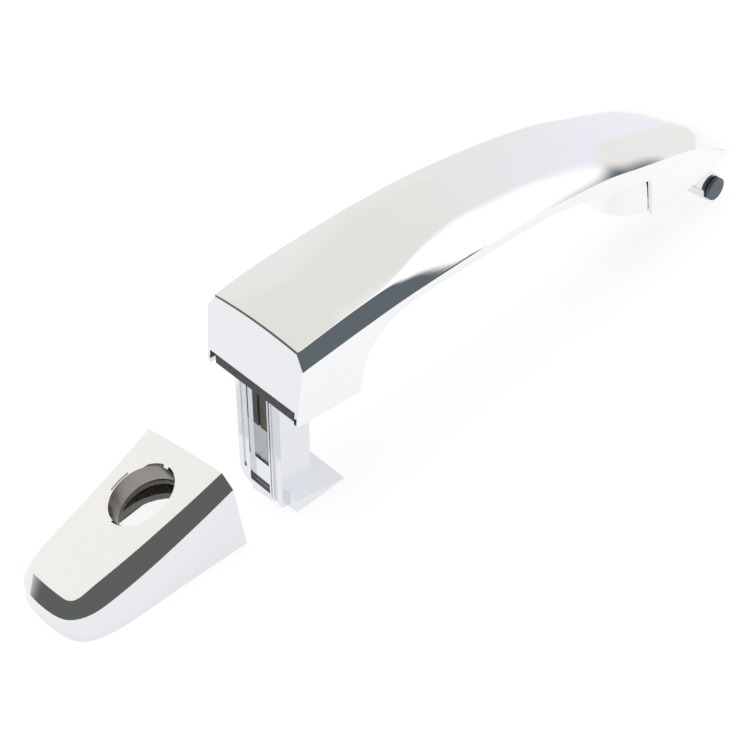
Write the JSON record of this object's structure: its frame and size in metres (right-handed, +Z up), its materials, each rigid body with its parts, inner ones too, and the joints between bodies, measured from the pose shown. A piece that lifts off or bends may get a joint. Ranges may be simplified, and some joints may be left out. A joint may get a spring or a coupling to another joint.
{
  "type": "car door handle",
  "caption": "Chromed pull handle for a car door, hinged on a front hook with a windowed rear arm, lying beside its loose cover with a lock hole.",
  "frame": {"origin": "the sole of the rear arm's toe, on the table that the handle stands on", "axes": "+X from the lock cover towards the grip's front tip, +Y across the grip, +Z up from the table"},
  "size_m": [0.2659, 0.0559, 0.0626],
  "materials": {
    "chrome": "mirror-polished chrome plating over moulded plastic and cast metal",
    "nylon": "matt glass-filled nylon",
    "olive_rubber": "matt olive-black rubber",
    "rubber": "matt black rubber",
    "steel": "zinc-plated steel"
  },
  "bodies": {
    "pivot": {"pivot_bush": "nylon"},
    "grip": {"outer_shell": "chrome", "finger_side_shell": "chrome", "grip_core": "nylon", "rear_arm": "chrome", "window_damper": "olive_rubber", "rear_foot_pad": "rubber", "front_hook": "chrome", "front_foot_pad": "rubber", "rear_arm_screw_1": "steel", "rear_arm_screw_2": "steel", "front_hook_screw_1": "steel", "front_hook_screw_2": "steel", "shell_screw_1": "steel", "shell_screw_2": "steel"},
    "cover": {"lock_cover_shell": "chrome", "cover_frame": "nylon", "cover_gasket": "rubber", "cover_clip_left": "steel", "cover_clip_right": "steel", "lock_seal": "rubber", "cover_screw_1": "steel", "cover_screw_2": "steel"}
  },
  "joints": [
    {"name": "grip_pull", "type": "hinge", "parent": "pivot", "child": "grip", "pos_m": [0.1766, -0.0006, 0.00558], "axis": [0.0155, 0.9919, 0.1261], "range_deg": [-7, 3.5]},
    {"name": "cover_fit", "type": "slide", "parent": "pivot", "child": "cover", "axis": [0.5559, -0.5899, 0.5856], "range_m": [0, 0.0236]}
  ]
}
